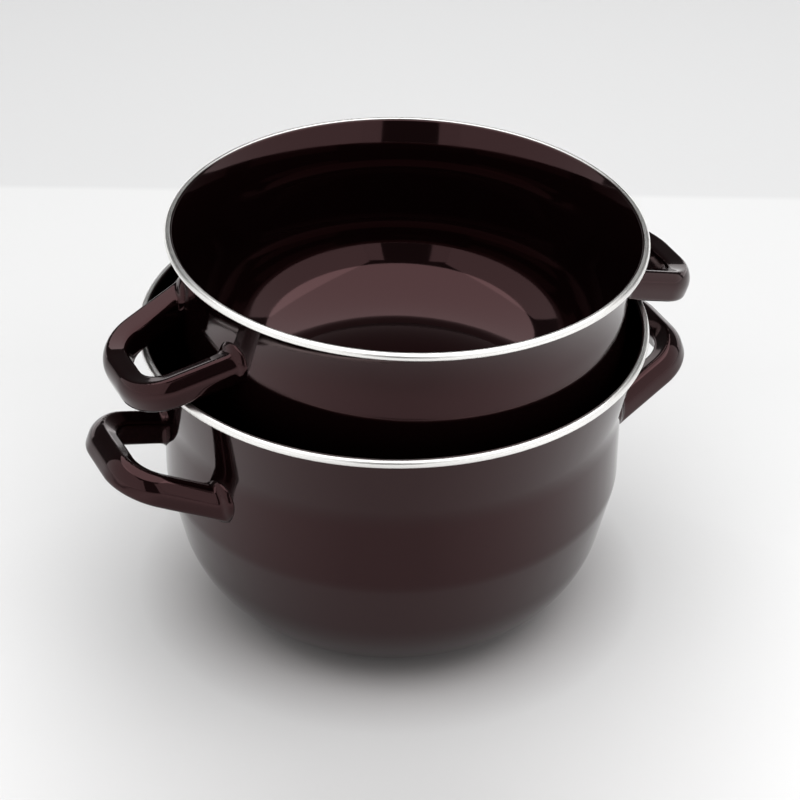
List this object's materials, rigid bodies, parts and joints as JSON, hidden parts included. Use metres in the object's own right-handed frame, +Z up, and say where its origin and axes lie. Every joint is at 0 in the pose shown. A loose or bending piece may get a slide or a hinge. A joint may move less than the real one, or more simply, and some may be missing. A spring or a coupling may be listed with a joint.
{
  "type": "mussel_pot",
  "caption": "Mussel pot in glossy dark brown enamel with bright steel rims, its lid bowl standing upright in the mouth, rounded sides and looped handles on both",
  "frame": {"origin": "centre of the flat underside of the pot's base", "axes": "+Z up along the pot's axis; +X to the right, along the line through the middles of the pot's handles; +Y to the back"},
  "size_m": [0.3138, 0.25, 0.2074],
  "materials": {
    "enamel": "glossy",
    "rim_steel": "polished"
  },
  "bodies": {
    "root": {"pot_body": "enamel", "pot_rim_band": "rim_steel", "pot_handle_right": "enamel", "pot_handle_left": "enamel", "lid_bowl_body": "enamel", "lid_bowl_rim_band": "rim_steel", "lid_bowl_handle_right": "enamel", "lid_bowl_handle_left": "enamel"}
  },
  "joints": []
}
